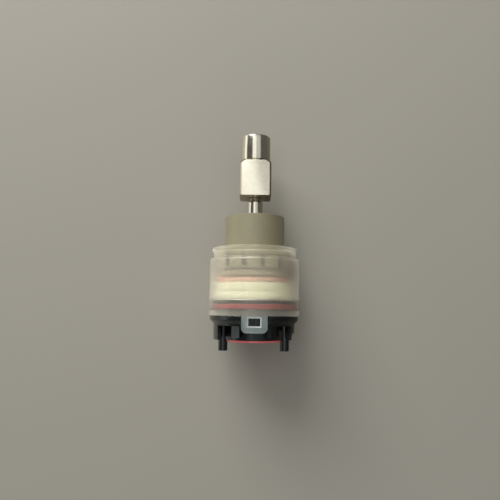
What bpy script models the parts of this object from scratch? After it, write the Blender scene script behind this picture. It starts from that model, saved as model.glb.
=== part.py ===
"""Ceramic-disc diverter cartridge, 40 mm size.

One object for each physical piece, in metres, +Z up along the stem.
The origin is the middle of the seating face under the base, and the front snap tab faces -Y.
Angles are bearings: degrees from the front (-Y), turning towards +X.
"""

import math

import bmesh
import bpy
from mathutils import Matrix, Vector

MM = 0.001

# Driving dimensions, in millimetres
HOUSING_R = 20.0          # outside of the skirt: the 40 mm size
SKIRT_LOW = 10.5          # lower edge of the skirt
HOUSING_STEP = 35.3       # where the skirt ends and the neck begins
HOUSING_TOP = 40.0
NECK_R = 18.4
RIM_R = 18.9
WALL_LOW_R = 18.7         # bore round the base
WALL_MID_R = 18.2         # bore round the discs
WALL_TOP_R = 17.6         # bore round the head's flange
SHELF_Z = 17.1            # step in the bore over the base
HEAD_BORE_R = 13.6

TAB_BEARINGS = (0.0, 180.0)
TAB_W = 10.8
TAB_LOW = 3.5
TAB_WINDOW_W = 4.9
TAB_WINDOW_Z = (6.3, 9.5)

BASE_TOP = 16.8
BASE_CORE_R = 13.0
BASE_WALL_R = 17.9
FLANGE_R = 19.5
CEILING_Z = 6.2           # roof of the pockets under the flange
PEG_R = 2.0
PEG_X = 13.6
PEG_LOW = -5.0

PORT_BEARINGS = (0.0, 120.0, -120.0)
PORT_NAMES = ("inlet", "outlet_right", "outlet_left")
PORT_PITCH_R = 7.0
PORT_R = 3.0
WEB_HALF_ANGLE = 8.0                 # webs of the bottom seal

FIXED_DISC = (17.8, 17.25, 20.75)    # radius, bottom, top
MOVING_DISC = (17.0, 21.0, 24.6)
CAVITY_HALF_ANGLE = 90.0             # joins two ports at either end of the travel

DRIVER_LOW = 24.85
DRIVER_PLATE = (16.6, 27.3, 29.9)
HUB_R = 8.0
HUB_TOP = 33.0
ARM_HALF_W = 2.5
ARM_END_R = 13.4
DRIVE_PIN_X = 8.5
SOCKET_W = 7.4
SQUARE_W = 6.8

STOP_RING_R = (13.9, 17.3)
STOP_RING_Z = (30.3, 36.0)
FLUTES = 14
FLUTE_W = 2.0
FLUTE_FLOOR_R = 15.6
FLUTE_OFFSET = 11.0                  # bearing of one flute
STOP_BEARING = 98.0                  # inner stops, either side of the front

HEAD_R = 13.35
HEAD_TOP = 54.3
HEAD_FLANGE = (17.3, 36.3, 37.9)

STEM_R = 3.45
JOURNAL_R = 4.4
STUD_R = 2.5
STEM_SHOULDER = 61.9
STUD_TOP = 71.0
O_RING_Z = (41.05, 44.75)

BLOCK_W = 14.0
BLOCK_Z = (63.7, 79.8)
SPIGOT_R = 6.65
ADAPTER_TOP = 91.9

SEGMENTS = 48


# ---------------------------------------------------------------- set-up

for old in list(bpy.data.objects):
    bpy.data.objects.remove(old, do_unlink=True)


def new_collection(name):
    collection = bpy.data.collections.new(name)
    bpy.context.scene.collection.children.link(collection)
    return collection


PARTS = new_collection("diverter_cartridge")
CUTTERS = new_collection("cutters")


def finish_material(name, colour, roughness, metallic=0.0, transmission=0.0):
    material = bpy.data.materials.new(name)
    material.use_nodes = True
    shader = material.node_tree.nodes["Principled BSDF"]
    shader.inputs["Base Color"].default_value = (*colour, 1.0)
    shader.inputs["Roughness"].default_value = roughness
    shader.inputs["Metallic"].default_value = metallic
    shader.inputs["Transmission Weight"].default_value = transmission
    material.diffuse_color = (*colour, 1.0)
    return material


# ---------------------------------------------------------------- shapes

def polar(radius, bearing, z=0.0):
    """Point at a bearing from the front, in millimetres."""
    angle = math.radians(bearing)
    return Vector((radius * math.sin(angle), -radius * math.cos(angle), z))


def add_object(name, mesh, collection=CUTTERS):
    body = bpy.data.objects.new(name, mesh)
    collection.objects.link(body)
    if collection is CUTTERS:
        body.hide_render = True
        body.display_type = "WIRE"
    return body


def make_part(body, material, parent=None):
    """Move a shape from the cutters to the parts and give it its material."""
    CUTTERS.objects.unlink(body)
    PARTS.objects.link(body)
    body.hide_render = False
    body.display_type = "TEXTURED"
    body.data.materials.append(material)
    body.data.shade_smooth()
    body.data.set_sharp_from_angle(angle=math.radians(35))
    if parent is not None:
        body.parent = parent
    return body


def turned(name, profile, closed=False, segments=SEGMENTS):
    """Turn a profile of (radius, height) points that runs down its outer side."""
    mesh = bpy.data.meshes.new(name)
    points = [(r * MM, 0.0, z * MM) for r, z in profile]
    edges = [(i, i + 1) for i in range(len(points) - 1)]
    if closed:
        edges.append((len(points) - 1, 0))
    mesh.from_pydata(points, edges, [])
    body = add_object(name, mesh)
    screw = body.modifiers.new("turn", "SCREW")
    screw.axis = "Z"
    screw.steps = screw.render_steps = segments
    screw.use_merge_vertices = True
    screw.merge_threshold = 0.00001
    return body


def ring_section(major, minor, z, points=10, height=None):
    """Round or oval section of a moulded ring, running down its outer side."""
    half = minor if height is None else height / 2
    steps = (math.radians(90 - 360 * i / points) for i in range(points))
    return [(major + minor * math.cos(a), z + half * math.sin(a)) for a in steps]


def block(name, size, centre, bearing=0.0):
    """Box of a size in millimetres; a bearing turns it about the axis."""
    mesh = bpy.data.meshes.new(name)
    shape = bmesh.new()
    bmesh.ops.create_cube(shape, size=1.0)
    bmesh.ops.scale(shape, vec=Vector(size) * MM, verts=shape.verts)
    bmesh.ops.translate(shape, vec=Vector(centre) * MM, verts=shape.verts)
    turn = Matrix.Rotation(math.radians(bearing), 3, "Z")
    bmesh.ops.rotate(shape, cent=(0, 0, 0), matrix=turn, verts=shape.verts)
    shape.to_mesh(mesh)
    shape.free()
    return add_object(name, mesh)


def rod(name, radius, low, high, centre=(0.0, 0.0), segments=24, top_radius=None):
    """Upright cylinder or cone between two heights."""
    mesh = bpy.data.meshes.new(name)
    shape = bmesh.new()
    top = radius if top_radius is None else top_radius
    place = Matrix.Translation(Vector((centre[0], centre[1], (low + high) / 2)) * MM)
    place = place @ Matrix.Rotation(math.pi / segments, 4, "Z")
    bmesh.ops.create_cone(shape, cap_ends=True, segments=segments, radius1=radius * MM,
                          radius2=top * MM, depth=(high - low) * MM, matrix=place)
    shape.to_mesh(mesh)
    shape.free()
    return add_object(name, mesh)


def prism(name, outline, low, high):
    """Flat outline of (x, y) points made into a solid between two heights."""
    curve = bpy.data.curves.new(name + "_outline", "CURVE")
    curve.dimensions = "2D"
    curve.fill_mode = "BOTH"
    curve.extrude = (high - low) / 2 * MM
    spline = curve.splines.new("POLY")
    spline.points.add(len(outline) - 1)
    for point, (x, y) in zip(spline.points, outline):
        point.co = (x * MM, y * MM, 0.0, 1.0)
    spline.use_cyclic_u = True
    guide = bpy.data.objects.new(name + "_outline", curve)
    CUTTERS.objects.link(guide)
    guide.location.z = (low + high) / 2 * MM
    bpy.context.view_layer.update()
    evaluated = guide.evaluated_get(bpy.context.evaluated_depsgraph_get())
    mesh = bpy.data.meshes.new_from_object(evaluated)
    mesh.transform(guide.matrix_world)
    bpy.data.objects.remove(guide, do_unlink=True)
    shape = bmesh.new()
    shape.from_mesh(mesh)
    bmesh.ops.remove_doubles(shape, verts=shape.verts, dist=0.000001)
    bmesh.ops.recalc_face_normals(shape, faces=shape.faces)
    shape.to_mesh(mesh)
    shape.free()
    return add_object(name, mesh)


def sector(name, inner, outer, start, end, low, high):
    """Part of a ring between two radii and two bearings."""
    steps = max(2, round(abs(end - start) / 7.5))
    bearings = [start + (end - start) * i / steps for i in range(steps + 1)]
    outline = [polar(outer, b).xy for b in bearings]
    outline += [polar(inner, b).xy for b in reversed(bearings)]
    return prism(name, outline, low, high)


def combine(body, tool, operation):
    step = body.modifiers.new(f"{operation.lower()} {tool.name}", "BOOLEAN")
    step.operation = operation
    step.object = tool
    return body


def cut(body, *tools):
    for tool in tools:
        combine(body, tool, "DIFFERENCE")
    return body


def join(body, *tools):
    for tool in tools:
        combine(body, tool, "UNION")
    return body


# ---------------------------------------------------------------- finishes

BLACK_PLASTIC = finish_material("black_plastic", (0.022, 0.024, 0.023), 0.45)
MILKY_PLASTIC = finish_material("milky_plastic", (0.66, 0.62, 0.47), 0.35, transmission=0.5)
TAN_PLASTIC = finish_material("tan_plastic", (0.30, 0.26, 0.17), 0.50)
CREAM_PLASTIC = finish_material("cream_plastic", (0.45, 0.37, 0.27), 0.45)
RED_RUBBER = finish_material("red_rubber", (0.62, 0.06, 0.07), 0.50)
BLACK_RUBBER = finish_material("black_rubber", (0.02, 0.02, 0.02), 0.60)
CERAMIC = finish_material("ceramic", (0.90, 0.88, 0.74), 0.25)
STEEL = finish_material("steel", (0.72, 0.70, 0.62), 0.25, metallic=1.0)
BUSH_PLASTIC = finish_material("bush_plastic", (0.82, 0.82, 0.80), 0.40)

SPINDLE = bpy.data.objects.new("spindle_axis", None)
PARTS.objects.link(SPINDLE)


# ---------------------------------------------------------------- fixed pieces

def make_base():
    body = turned("base", [
        (0, BASE_TOP), (18.4, BASE_TOP), (18.4, 15.7), (16.1, 15.7), (16.1, 13.0),
        (17.5, 13.0), (17.5, 12.4), (16.9, 12.0), (16.9, 10.3), (FLANGE_R, 10.3),
        (FLANGE_R, 8.6), (BASE_WALL_R, 7.0), (BASE_WALL_R, CEILING_Z),
        (BASE_CORE_R, CEILING_Z), (BASE_CORE_R, 0.3), (BASE_CORE_R - 0.3, 0), (0, 0)])
    skirts = [                       # start bearing, end bearing, lower end
        (-102, -60, 0.15), (62, 102, 3.0), (138, 222, 1.0)]
    for i, (start, end, low) in enumerate(skirts):
        join(body, sector(f"base_skirt_{i}", 16.2, BASE_WALL_R - 0.05, start, end,
                          low, CEILING_Z + 0.6))
    join(body, sector("base_nub", 16.3, 17.2, 63, 72, 0.15, CEILING_Z))
    for side, width, x, front in [("left", 2.8, -8.0, 15.1), ("right", 1.3, 6.15, 15.5)]:
        join(body, block(f"base_bar_{side}", (width, 6.6, 5.4), (x, 3.3 - front, 4.0)))
    for i, bearing in enumerate((100, -100, 180)):
        middle = (BASE_CORE_R + 16.8) / 2
        join(body, block(f"base_web_{i}", (1.5, 5.0, 5.2), (0, -middle, 4.1), bearing))
    for side in (-1, 1):
        peg = turned(f"peg_{side}", [
            (0, 7.2), (PEG_R, 7.2), (PEG_R, PEG_LOW + 0.4), (PEG_R - 0.35, PEG_LOW),
            (0, PEG_LOW)], segments=20)
        peg.location.x = side * PEG_X * MM
        join(body, peg)
        join(body, block(f"disc_key_{side}", (1.3, 3.0, 3.0), (side * 17.2, 0, 17.5)))
    for bearing in TAB_BEARINGS:
        tag = f"{bearing:.0f}"
        notch = sector("tab_notch_" + tag, 18.3, 23, bearing - 18.5, bearing + 18.5, 5.3, 11.7)
        tooth = block("snap_tooth_" + tag, (TAB_WINDOW_W - 0.7, 2.4, 2.5),
                      (0, -18.4, 7.9), bearing)
        cut(body, notch)
        join(body, tooth)
    for name, bearing in zip(PORT_NAMES, PORT_BEARINGS):
        x, y = polar(PORT_PITCH_R, bearing).xy
        cut(body, rod("bore_" + name, PORT_R, -1, 18, (x, y)))
        cut(body, rod("seal_seat_" + name, PORT_R + 1.3, 15.2, 18, (x, y)))
    cut(body, seal_shape("seal_groove", clearance=0.2, low=-0.5, high=1.2))
    return make_part(body, BLACK_PLASTIC)


def seal_shape(name, clearance, low, high):
    """Ring with a hub and three webs, which keep the ports apart."""
    body = turned(name, [
        (12.1 + clearance, high), (12.1 + clearance, low),
        (2.2 - clearance, low), (2.2 - clearance, high)], closed=True)
    reach = 60 - WEB_HALF_ANGLE - 12 * clearance
    for bearing in PORT_BEARINGS:
        cell = sector(f"{name}_cell_{bearing:.0f}", 3.2 + clearance, 10.8 - clearance,
                      bearing - reach, bearing + reach, low - 1, high + 1)
        cut(body, cell)
    for side in (-1, 1):
        cut(body, rod(f"{name}_peg_room_{side}", PEG_R + 0.3 - clearance, low - 1, high + 1,
                      (side * PEG_X, 0)))
    return body


def make_seals():
    make_part(seal_shape("bottom_seal", clearance=0.0, low=-0.8, high=0.95), RED_RUBBER)
    body_seal = turned("body_seal", [
        (18.2, 15.4), (18.5, 15.1), (18.5, 13.6), (18.2, 13.3), (16.4, 13.3), (16.4, 15.4)],
        closed=True)
    make_part(body_seal, RED_RUBBER)
    for name, bearing in zip(PORT_NAMES, PORT_BEARINGS):
        ring = turned("port_seal_" + name, [
            (PORT_R + 1.0, 17.0), (PORT_R + 1.0, 15.5), (PORT_R + 0.1, 15.5),
            (PORT_R + 0.1, 17.0)], closed=True, segments=24)
        ring.location = polar(PORT_PITCH_R, bearing) * MM
        make_part(ring, RED_RUBBER)


def make_fixed_disc():
    radius, low, high = FIXED_DISC
    body = rod("fixed_disc", radius, low, high, segments=SEGMENTS)
    for name, bearing in zip(PORT_NAMES, PORT_BEARINGS):
        x, y = polar(PORT_PITCH_R, bearing).xy
        cut(body, rod("disc_port_" + name, PORT_R, low - 1, high + 1, (x, y)))
    for side in (-1, 1):
        cut(body, block(f"disc_notch_{side}", (2.8, 3.7, 6), (side * 17.7, 0, 19)))
    return make_part(body, CERAMIC)


def tab_plate(bearing):
    """Upright plate with round lower corners: the room that one snap tab takes."""
    half, corner = TAB_W / 2, 2.0
    outline = [(-half, SKIRT_LOW + 1)]
    for side, start in ((-1, 180), (1, 270)):
        for step in range(5):
            angle = math.radians(start + 90 * step / 4)
            outline.append((side * (half - corner) + corner * math.cos(angle),
                            TAB_LOW + corner + corner * math.sin(angle)))
    outline.append((half, SKIRT_LOW + 1))
    plate = prism(f"tab_plate_{bearing:.0f}", outline, 16.0, 23.0)
    stand = Matrix.Rotation(math.radians(90), 4, "X")
    turn = Matrix.Rotation(math.radians(bearing), 4, "Z")
    plate.data.transform(turn @ stand)
    return plate


def make_housing():
    """Stepped shell. The skirt is turned down to the tabs' ends, then trimmed round them."""
    body = turned("housing", [
        (HEAD_BORE_R, HOUSING_TOP), (RIM_R - 0.4, HOUSING_TOP), (RIM_R, HOUSING_TOP - 0.4),
        (RIM_R, 38.7), (NECK_R, 38.4), (NECK_R, HOUSING_STEP), (HOUSING_R - 0.4, HOUSING_STEP),
        (HOUSING_R, HOUSING_STEP - 0.4), (HOUSING_R, TAB_LOW + 0.2), (HOUSING_R - 0.2, TAB_LOW),
        (WALL_LOW_R, TAB_LOW), (WALL_LOW_R, SHELF_Z), (WALL_MID_R, SHELF_Z), (WALL_MID_R, 34.2),
        (WALL_TOP_R, 34.7), (WALL_TOP_R, 38.2), (HEAD_BORE_R, 38.2)], closed=True)
    trim = turned("skirt_trim", [
        (22, SKIRT_LOW), (22, TAB_LOW - 1), (17, TAB_LOW - 1), (17, SKIRT_LOW)], closed=True)
    low, high = TAB_WINDOW_Z
    for bearing in TAB_BEARINGS:
        cut(trim, tab_plate(bearing))
        window = block(f"tab_window_{bearing:.0f}", (TAB_WINDOW_W, 6, high - low),
                       (0, -19.5, (low + high) / 2), bearing)
        cut(body, window)
    cut(body, trim)
    return make_part(body, MILKY_PLASTIC)


def flute_cutters(name, low, high, depth_r):
    for i in range(FLUTES):
        bearing = FLUTE_OFFSET + 360 / FLUTES * i
        middle = depth_r + 2.0
        yield block(f"{name}_{i}", (FLUTE_W, 4.0, high - low),
                    (0, -middle, (low + high) / 2), bearing)


def make_head():
    radius, low, high = HEAD_FLANGE
    body = turned("head", [
        (6.3, HEAD_TOP), (HEAD_R - 0.5, HEAD_TOP), (HEAD_R, HEAD_TOP - 0.5), (HEAD_R, high),
        (radius, high), (radius, low), (13.4, low), (13.4, 33.6), (6.6, 33.6), (6.6, 36.5),
        (4.7, 36.5), (4.7, 48.3), (6.3, 48.3)], closed=True)
    cut(body, *flute_cutters("head_notch", low - 1, high + 0.15, FLUTE_FLOOR_R))
    return make_part(body, TAN_PLASTIC)


def make_stop_ring():
    inner, outer = STOP_RING_R
    low, high = STOP_RING_Z
    body = turned("stop_ring", [(outer, high), (outer, low), (inner, low), (inner, high)],
                  closed=True)
    join(body, sector("ring_key", 16.95, 18.0, 42, 80, 27.0, 31.0))
    for side in (-1, 1):
        start, end = side * STOP_BEARING - 8, side * STOP_BEARING + 8
        join(body, sector(f"stop_{side}", 11.2, inner + 0.4, start, end, low + 0.01, 33.2))
    cut(body, *flute_cutters("ring_flute", 31.2, high + 1, FLUTE_FLOOR_R))
    for bearing in (120, 180, 240):
        x, y = polar(13.2, bearing).xy
        cut(body, rod(f"click_notch_{bearing}", 1.3, low + 0.6, 32.9, (x, y), segments=12))
    return make_part(body, TAN_PLASTIC)


# ---------------------------------------------------------------- turning pieces

def make_moving_disc():
    radius, low, high = MOVING_DISC
    body = rod("moving_disc", radius, low, high, segments=SEGMENTS)
    cut(body, sector("crossover", 3.5, 10.5, -CAVITY_HALF_ANGLE, CAVITY_HALF_ANGLE,
                     low - 1, low + 1.7))
    for side in (-1, 1):
        cut(body, rod(f"pin_socket_{side}", 2.5, low + 2.1, high + 1,
                      (side * DRIVE_PIN_X, 0), segments=16))
    return make_part(body, CERAMIC, SPINDLE)


def make_driver():
    radius, low, high = DRIVER_PLATE
    body = turned("driver", [
        (0, HUB_TOP), (HUB_R, HUB_TOP), (HUB_R, high), (radius - 0.3, high),
        (radius, high - 0.3), (radius, low), (12.6, low), (12.6, DRIVER_LOW), (0, DRIVER_LOW)])
    arm_from = HUB_R - 1.5
    join(body, block("arm", (2 * ARM_HALF_W, ARM_END_R - arm_from, 3.2),
                     (0, (ARM_END_R + arm_from) / 2, 31.0)))
    for side in (-1, 1):
        join(body, rod(f"drive_pin_{side}", 2.2, 23.4, DRIVER_LOW + 0.6,
                       (side * DRIVE_PIN_X, 0), segments=16))
    cut(body, block("socket", (SOCKET_W, SOCKET_W, 8.0), (0, 0, 31.0)))
    bore = rod("spring_bore", 1.25, 8.6, 15.0, segments=16)
    bore.data.transform(Matrix.Rotation(math.radians(-90), 4, "X"))
    bore.location.z = 31.15 * MM
    cut(body, bore)
    return make_part(body, CREAM_PLASTIC, SPINDLE)


def make_driver_ring():
    low, high = 25.1, 27.0
    section = ring_section(13.62, 0.76, (low + high) / 2, points=8, height=high - low)
    return make_part(turned("driver_ring", section, closed=True), RED_RUBBER, SPINDLE)


def make_click_pieces():
    """Spring and ball in the driver's arm, which mark the three positions."""
    ball = bpy.data.meshes.new("click_ball")
    shape = bmesh.new()
    bmesh.ops.create_uvsphere(shape, u_segments=12, v_segments=8, radius=1.0 * MM)
    shape.to_mesh(ball)
    shape.free()
    ball_body = add_object("click_ball", ball)
    ball_body.location = Vector((0, 12.6, 31.15)) * MM
    make_part(ball_body, STEEL, SPINDLE)

    turns, per_turn, first, last = 4, 10, 9.2, 11.2
    curve = bpy.data.curves.new("click_spring", "CURVE")
    curve.dimensions = "3D"
    curve.bevel_depth = 0.16 * MM
    curve.bevel_resolution = 1
    curve.use_fill_caps = True
    spline = curve.splines.new("POLY")
    count = turns * per_turn + 1
    spline.points.add(count - 1)
    for i, point in enumerate(spline.points):
        angle = math.tau * i / per_turn
        along = first + (last - first) * i / (count - 1)
        point.co = (0.75 * math.cos(angle) * MM, along * MM,
                    (31.15 + 0.75 * math.sin(angle)) * MM, 1.0)
    spring = bpy.data.objects.new("click_spring", curve)
    PARTS.objects.link(spring)
    curve.materials.append(STEEL)
    spring.parent = SPINDLE


def make_stem():
    grooves = []
    for z in reversed(O_RING_Z):
        grooves += [(JOURNAL_R, z + 0.9), (3.15, z + 0.9), (3.15, z - 0.9), (JOURNAL_R, z - 0.9)]
    body = turned("stem", [
        (0, STUD_TOP), (STUD_R - 0.4, STUD_TOP), (STUD_R, STUD_TOP - 0.4),
        (STUD_R, STEM_SHOULDER), (STEM_R, STEM_SHOULDER - 0.8), (STEM_R, 54.0), (2.7, 54.0),
        (2.7, 52.85), (STEM_R, 52.85), (STEM_R, 47.8), (JOURNAL_R, 47.2), *grooves,
        (JOURNAL_R, 35.2), (6.2, 35.2), (6.2, 33.3), (0, 33.3)], segments=32)
    join(body, block("drive_square", (SQUARE_W, SQUARE_W, 6.3), (0, 0, 30.5)))
    return make_part(body, STEEL, SPINDLE)


def make_stem_fittings():
    for name, z in zip(("stem_o_ring_lower", "stem_o_ring_upper"), O_RING_Z):
        ring = turned(name, ring_section(3.98, 0.58, z, points=8), closed=True, segments=24)
        make_part(ring, BLACK_RUBBER, SPINDLE)
    washer = turned("thrust_washer", [(6.2, 36.2), (6.2, 35.5), (4.75, 35.5), (4.75, 36.2)],
                    closed=True, segments=32)
    make_part(washer, BUSH_PLASTIC)
    bush = turned("stem_bush", [(6.0, 52.6), (6.0, 48.6), (3.75, 48.6), (3.75, 52.6)],
                  closed=True, segments=32)
    make_part(bush, BUSH_PLASTIC)
    clip = sector("stem_clip", 2.95, 4.9, 32, 328, 53.1, 53.7)
    make_part(clip, STEEL, SPINDLE)


def make_adapter():
    """Square block for a spanner with a round spigot for the handle."""
    low, high = BLOCK_Z
    body = block("adapter", (BLOCK_W, BLOCK_W, high - low), (0, 0, (low + high) / 2))
    edges = body.modifiers.new("long_edges", "BEVEL")
    edges.width = 0.75 * MM
    edges.segments = 1
    edges.limit_method = "ANGLE"
    envelope = turned("block_envelope", [
        (0, high + 0.01), (8.2, high + 0.01), (9.7, high - 1.7), (9.7, low + 0.5),
        (9.2, low - 0.01), (0, low - 0.01)])
    combine(body, envelope, "INTERSECT")
    spigot = turned("spigot", [
        (0, ADAPTER_TOP), (SPIGOT_R - 0.5, ADAPTER_TOP), (SPIGOT_R, ADAPTER_TOP - 0.5),
        (SPIGOT_R, high + 0.5), (SPIGOT_R - 0.5, high + 0.4), (SPIGOT_R - 0.5, high - 0.5),
        (0, high - 0.5)])
    join(body, spigot)
    cut(body, rod("stud_bore", STUD_R + 0.3, low - 1, STUD_TOP + 0.6))
    cut(body, rod("handle_screw_bore", 2.1, ADAPTER_TOP - 12, ADAPTER_TOP + 1))
    return make_part(body, STEEL, SPINDLE)


make_base()
make_seals()
make_fixed_disc()
make_housing()
make_head()
make_stop_ring()
make_moving_disc()
make_driver()
make_driver_ring()
make_click_pieces()
make_stem()
make_stem_fittings()
make_adapter()
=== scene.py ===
# %% [markdown]
# # A ceramic-disc diverter cartridge
# The object is the inner cartridge of a shower diverter: a milky clipped-on housing, a black base with
# two locating pegs, a tan bonnet, and a steel stem that carries a square block and a round spigot for the
# handle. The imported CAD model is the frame: it says how large each piece is and which body it moves with.
# This script gives each piece the shape and the surface that the eye sees.

# %% Load the frame
import math

import bpy
from mathutils import Matrix, Vector


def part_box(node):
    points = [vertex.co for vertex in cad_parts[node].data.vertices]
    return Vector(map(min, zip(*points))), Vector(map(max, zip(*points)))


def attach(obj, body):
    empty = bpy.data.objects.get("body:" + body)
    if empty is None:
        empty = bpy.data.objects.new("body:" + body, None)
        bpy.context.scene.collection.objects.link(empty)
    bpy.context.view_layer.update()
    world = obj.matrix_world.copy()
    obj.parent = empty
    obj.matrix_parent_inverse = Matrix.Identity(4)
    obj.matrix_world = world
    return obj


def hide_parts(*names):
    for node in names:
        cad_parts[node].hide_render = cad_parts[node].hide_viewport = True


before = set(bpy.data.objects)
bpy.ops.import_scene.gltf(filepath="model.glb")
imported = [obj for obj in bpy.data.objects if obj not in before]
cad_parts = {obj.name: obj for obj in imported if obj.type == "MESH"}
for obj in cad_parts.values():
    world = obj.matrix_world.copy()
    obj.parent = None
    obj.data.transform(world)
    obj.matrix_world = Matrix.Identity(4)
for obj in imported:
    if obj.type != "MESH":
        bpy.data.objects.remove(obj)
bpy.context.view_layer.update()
MM = 0.001
SPINDLE, CARTRIDGE = "spindle", "cartridge"

# %% [markdown]
# ## Camera
# The cartridge lies on its side and is seen from above, a little from the handle's far end. Upright, as
# it is stored here, that is a camera in front of it, low down and tipped up. It is close, so the
# perspective is strong: the rim arches up, and the lower edge of the skirt is almost straight.

# %% Camera
CAMERA_PLACE = Vector((-2.1, -224.8, 13.0)) * MM
CAMERA_TIP_UP = math.radians(6.8)
CAMERA_ROLL = math.radians(0.7)

camera_data = bpy.data.cameras.new("camera")
camera_data.lens = 36.07
camera_data.sensor_width = 36.0
camera_data.clip_start = 0.01
camera = bpy.data.objects.new("camera", camera_data)
bpy.context.scene.collection.objects.link(camera)
tip = Matrix.Rotation(math.radians(90) + CAMERA_TIP_UP, 4, "X")
camera.matrix_world = Matrix.Translation(CAMERA_PLACE) @ tip @ Matrix.Rotation(CAMERA_ROLL, 4, "Z")
bpy.context.scene.camera = camera
print("camera distance, mm:", round(CAMERA_PLACE.length / MM))

# %% [markdown]
# ## Floor and light
# The plain pale floor that the cartridge lies on is upright here, just behind it. Seen from behind, or by
# a ray on its way to a lamp, the floor lets everything through, so it never hides or darkens the back of
# the object.

# %% Helpers for nodes
FACTOR, FIRST, SECOND, MIXED = 0, 6, 7, 2  # sockets of a colour Mix node


def new_material(name):
    """A material with a Principled shader; returns the material, its nodes, its links and the shader."""
    material = bpy.data.materials.new(name)
    material.use_nodes = True
    nodes, links = material.node_tree.nodes, material.node_tree.links
    return material, nodes, links, nodes["Principled BSDF"]


def ramp(nodes, from_min=0.0, from_max=1.0, to_min=0.0, to_max=1.0):
    """A Map Range node with its four limits."""
    node = nodes.new("ShaderNodeMapRange")
    node.inputs["From Min"].default_value, node.inputs["From Max"].default_value = from_min, from_max
    node.inputs["To Min"].default_value, node.inputs["To Max"].default_value = to_min, to_max
    return node


def colour_mix(nodes, first=(0, 0, 0), second=(0, 0, 0)):
    """A colour Mix node; a linked socket overrides the colour given here."""
    node = nodes.new("ShaderNodeMix")
    node.data_type = "RGBA"
    node.inputs[FIRST].default_value = (*first, 1)
    node.inputs[SECOND].default_value = (*second, 1)
    return node


def math_node(nodes, operation, second=None):
    node = nodes.new("ShaderNodeMath")
    node.operation = operation
    if second is not None:
        node.inputs[1].default_value = second
    return node


# %% [markdown]
# The floor is plain and pale. Bare metal mirrors it along both sides, and there it counts as pale on the
# lit side and dark on the shaded side, so that the metal keeps a dark edge against it.

# %% Floor
FLOOR_Y = 20.4 * MM
FLOOR_COLOUR = (0.342, 0.330, 0.293)
MIRRORED_LIT, MIRRORED_SHADED = (0.56, 0.53, 0.47), (0.14, 0.125, 0.09)

bpy.ops.object.select_all(action="DESELECT")
bpy.ops.mesh.primitive_plane_add(size=3.0, location=(0, FLOOR_Y, 0), rotation=(math.radians(90), 0, 0))
floor = bpy.context.object
floor.name = "floor"
floor_material, nodes, links, shader = new_material("pale_floor")
shader.inputs["Roughness"].default_value = 0.9
facing = nodes.new("ShaderNodeNewGeometry")
path = nodes.new("ShaderNodeLightPath")
place = nodes.new("ShaderNodeTexCoord")
sides = nodes.new("ShaderNodeSeparateXYZ")
shaded_side = ramp(nodes, -40 * MM, 10 * MM)
mirrored = colour_mix(nodes, MIRRORED_LIT, MIRRORED_SHADED)
pale = colour_mix(nodes, FLOOR_COLOUR)
links.new(place.outputs["Object"], sides.inputs[0])
links.new(sides.outputs["X"], shaded_side.inputs["Value"])
links.new(shaded_side.outputs[0], mirrored.inputs[FACTOR])
links.new(mirrored.outputs[MIXED], pale.inputs[SECOND])
links.new(path.outputs["Is Glossy Ray"], pale.inputs[FACTOR])
links.new(pale.outputs[MIXED], shader.inputs["Base Color"])
either = math_node(nodes, "MAXIMUM")
clear = nodes.new("ShaderNodeBsdfTransparent")
mix = nodes.new("ShaderNodeMixShader")
links.new(facing.outputs["Backfacing"], either.inputs[0])
links.new(path.outputs["Is Shadow Ray"], either.inputs[1])
links.new(either.outputs[0], mix.inputs["Fac"])
links.new(shader.outputs[0], mix.inputs[1])
links.new(clear.outputs[0], mix.inputs[2])
links.new(mix.outputs[0], nodes["Material Output"].inputs["Surface"])
floor.data.materials.append(floor_material)
print("floor behind the stem, mm:", FLOOR_Y / MM)

# %% [markdown]
# The light is soft and comes mostly from high on the left. Turned metal mirrors each lamp as a bright
# band along its length, so the lamps that it mirrors are placed for their bands: a bright and a dimmer
# panel in front, and a tall window far to the left, with dark gaps between. The key that lights the
# plastics hangs higher, out of that mirror.

# %% Light
AIM = Vector((0, 0, 50)) * MM


def softbox(name, bearing, rise, distance, width, height, radiance, colour=(1, 0.985, 0.95)):
    """Area lamp at a bearing from the front and a rise in degrees, aimed at the object; sizes in metres."""
    lamp_data = bpy.data.lights.new(name, "AREA")
    lamp_data.shape = "RECTANGLE"
    lamp_data.size, lamp_data.size_y = width, height
    lamp_data.energy = radiance * math.pi * width * height
    lamp_data.color = colour
    lamp = bpy.data.objects.new(name, lamp_data)
    bpy.context.scene.collection.objects.link(lamp)
    turn, tilt = math.radians(bearing), math.radians(rise)
    away = Vector((math.sin(turn) * math.cos(tilt), -math.cos(turn) * math.cos(tilt), math.sin(tilt)))
    lamp.location = AIM + away * distance
    lamp.rotation_euler = away.to_track_quat("Z", "Y").to_euler()
    return lamp


# name, bearing, rise, distance, width, height, radiance
softbox("key", -38, 52, 0.9, 0.60, 0.50, 9.3)
softbox("front_panel", -10, 4, 0.9, 0.46, 1.10, 1.15)
softbox("side_panel", 22, 4, 0.9, 0.50, 1.10, 0.55)
softbox("left_window", -87, 10, 0.9, 0.42, 1.10, 1.3)
softbox("foot_panel", -8, -80, 0.8, 0.50, 0.50, 2.2)
softbox("back_fill", 160, 30, 0.9, 0.60, 0.60, 2.6)

# %% [markdown]
# The rest of the room is a plain grey. The camera sees it a little brighter than the object does, so that
# the gaps between the lamps stay dark in the metal.

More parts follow.
